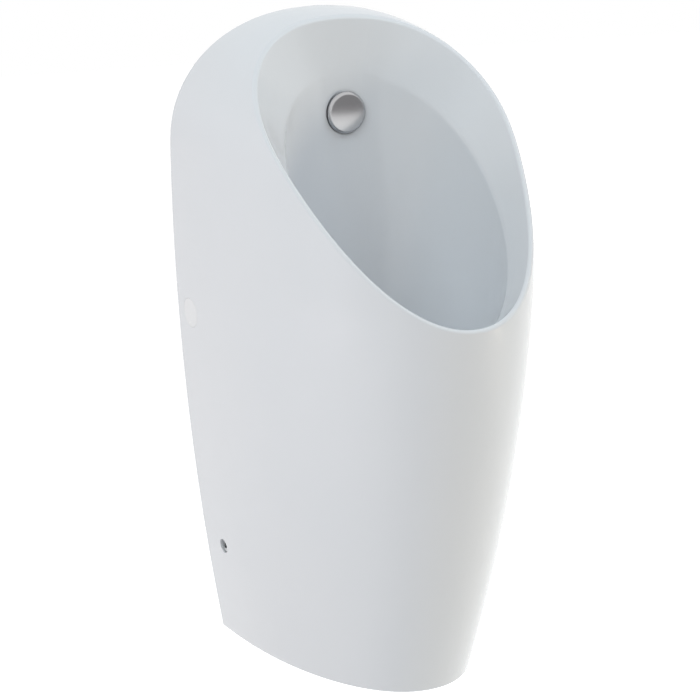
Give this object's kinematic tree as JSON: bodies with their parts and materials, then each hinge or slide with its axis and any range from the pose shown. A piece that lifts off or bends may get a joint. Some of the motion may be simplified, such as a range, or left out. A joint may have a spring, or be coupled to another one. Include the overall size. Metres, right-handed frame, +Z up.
{
  "type": "wall-hung urinal",
  "caption": "Egg-shaped wall-hung ceramic urinal with a slanted oval mouth, bevelled inner band, chrome spray head and a concealed lift-out trap.",
  "frame": {"origin": "middle of the rectangle of the four wall bolt holes, on the wall plane", "axes": "+X to the right seen from the front, +Y into the wall, +Z up; the front faces -Y"},
  "size_m": [0.3278, 0.3239, 0.65],
  "materials": {
    "glaze": "gloss white glaze",
    "chrome": "polished plate",
    "brass": "turned",
    "rubber": "matte",
    "white_plastic": "gloss moulded",
    "grey_plastic": "satin moulded",
    "pipe_plastic": "satin moulded",
    "steel": "brushed"
  },
  "bodies": {
    "urinal": {"ceramic_body": "glaze", "spray_body": "brass", "spray_lock_nut": "brass", "inlet_coupling": "brass", "spray_gasket": "rubber", "spray_rear_washer": "rubber", "inlet_o_ring": "rubber", "drain_flange_seal": "rubber", "trap_top_seal": "rubber", "outlet_cone_seal": "rubber", "outlet_cuff": "rubber", "drain_flange": "white_plastic", "inlet_filter": "grey_plastic", "flow_regulator": "grey_plastic", "left_lower_bush": "grey_plastic", "left_upper_bush": "grey_plastic", "right_lower_bush": "grey_plastic", "right_upper_bush": "grey_plastic", "trap_body": "pipe_plastic", "outlet_pipe": "pipe_plastic", "outlet_union_nut": "pipe_plastic", "spray_steel_washer": "steel", "bracket_nuts": "steel", "left_lower_bracket": "steel", "left_upper_bracket": "steel", "right_lower_bracket": "steel", "right_upper_bracket": "steel", "left_lower_screw": "steel", "left_upper_screw": "steel", "right_lower_screw": "steel", "right_upper_screw": "steel"},
    "trap_insert": {"trap_insert": "pipe_plastic", "trap_insert_seal": "rubber"},
    "strainer": {"strainer": "steel"},
    "cup_seal": {"trap_cup_seal": "rubber"},
    "clean_out_cup": {"trap_cup": "pipe_plastic"},
    "distributor": {"spray_distributor": "grey_plastic"},
    "spray_cap": {"spray_cap": "chrome"},
    "left_plug": {"left_cover_plug": "white_plastic"},
    "right_plug": {"right_cover_plug": "white_plastic"}
  },
  "joints": [
    {"name": "insert_lift", "type": "slide", "parent": "urinal", "child": "trap_insert", "axis": [0, 0, 1], "range_m": [0, 0.48]},
    {"name": "strainer_lift", "type": "slide", "parent": "trap_insert", "child": "strainer", "axis": [0, 0, 1], "range_m": [0, 0.36]},
    {"name": "cup_drop", "type": "slide", "parent": "urinal", "child": "cup_seal", "axis": [0, 0, -1], "range_m": [0, 0.0181]},
    {"name": "cup_turn", "type": "hinge", "parent": "cup_seal", "child": "clean_out_cup", "pos_m": [0, -0.165, 0], "axis": [0, 0, -1], "range_deg": [0, 2160]},
    {"name": "cap_out", "type": "slide", "parent": "urinal", "child": "distributor", "axis": [0, -1, 0], "range_m": [0, 0.0091]},
    {"name": "cap_turn", "type": "hinge", "parent": "distributor", "child": "spray_cap", "pos_m": [0, -0.065, 0.319], "axis": [0, -1, 0], "range_deg": [0, 2160]},
    {"name": "left_plug_pull", "type": "slide", "parent": "urinal", "child": "left_plug", "axis": [-1, 0, 0], "range_m": [0, 0.014]},
    {"name": "right_plug_pull", "type": "slide", "parent": "urinal", "child": "right_plug", "axis": [1, 0, 0], "range_m": [0, 0.014]}
  ],
  "couplings": [
    {"joint": "cup_drop", "follows": "cup_turn", "m_per_rad": 0.00047746},
    {"joint": "cap_out", "follows": "cap_turn", "m_per_rad": 0.00023873}
  ]
}
